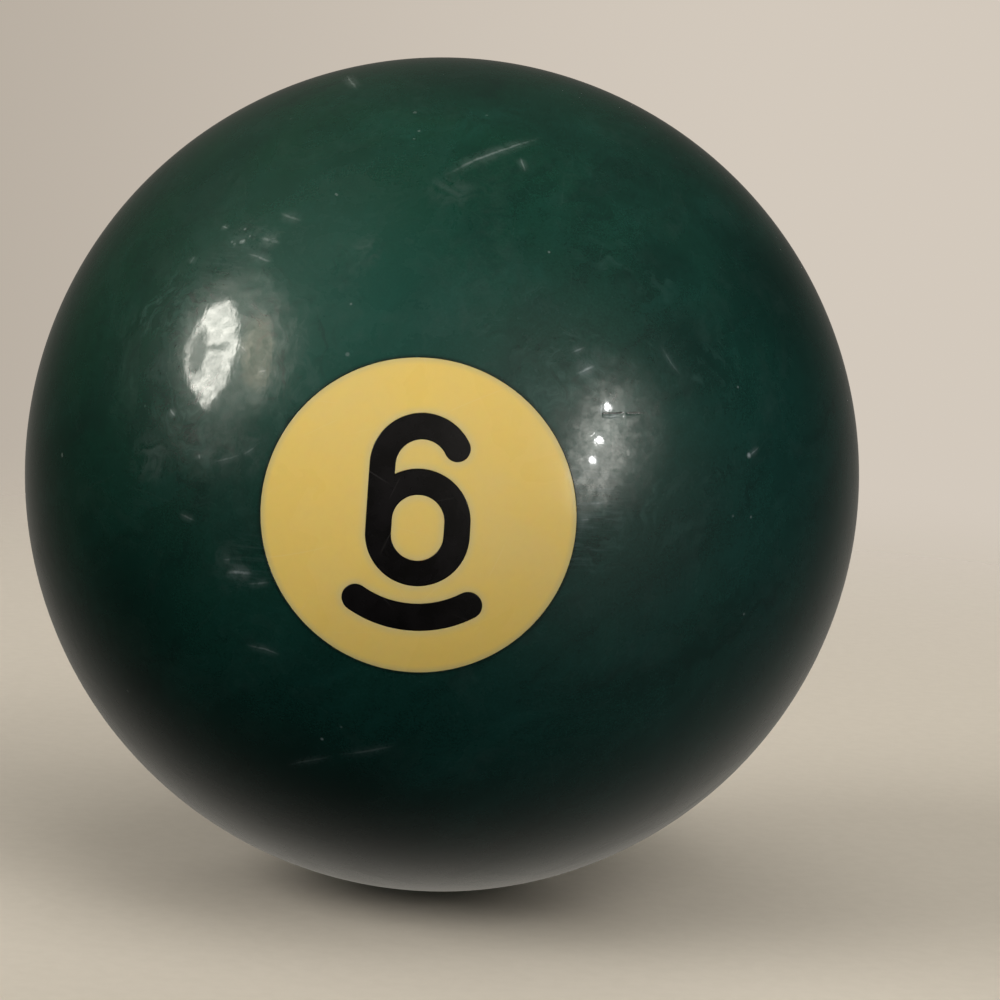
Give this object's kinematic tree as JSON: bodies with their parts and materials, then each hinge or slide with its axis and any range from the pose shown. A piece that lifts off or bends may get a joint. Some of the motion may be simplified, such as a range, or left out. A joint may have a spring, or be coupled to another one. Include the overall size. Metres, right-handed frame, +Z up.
{
  "type": "numbered pool ball",
  "caption": "Solid-colour pool ball, cast body with let-in number spots on opposite sides, numeral and curved underline filled flush.",
  "frame": {"origin": "centre of the ball", "axes": "+Z up; -Y through the middle of the front number, which reads upright towards +Z; +Y through the middle of the back number, which is the front one turned half a turn about X"},
  "size_m": [0.0572, 0.0572, 0.0572],
  "materials": {
    "body_resin": "deep bottle-green cast phenolic resin, polished, hazed by play with fine scratches",
    "spot_resin": "cream cast phenolic resin, yellowed with age, polished and slightly translucent",
    "number_fill": "black resin fill, polished flush, lightly scuffed"
  },
  "bodies": {
    "root": {"ball_body": "body_resin", "number_spot_front": "spot_resin", "number_spot_back": "spot_resin", "numeral_front": "number_fill", "numeral_back": "number_fill", "underline_front": "number_fill", "underline_back": "number_fill"}
  },
  "joints": []
}
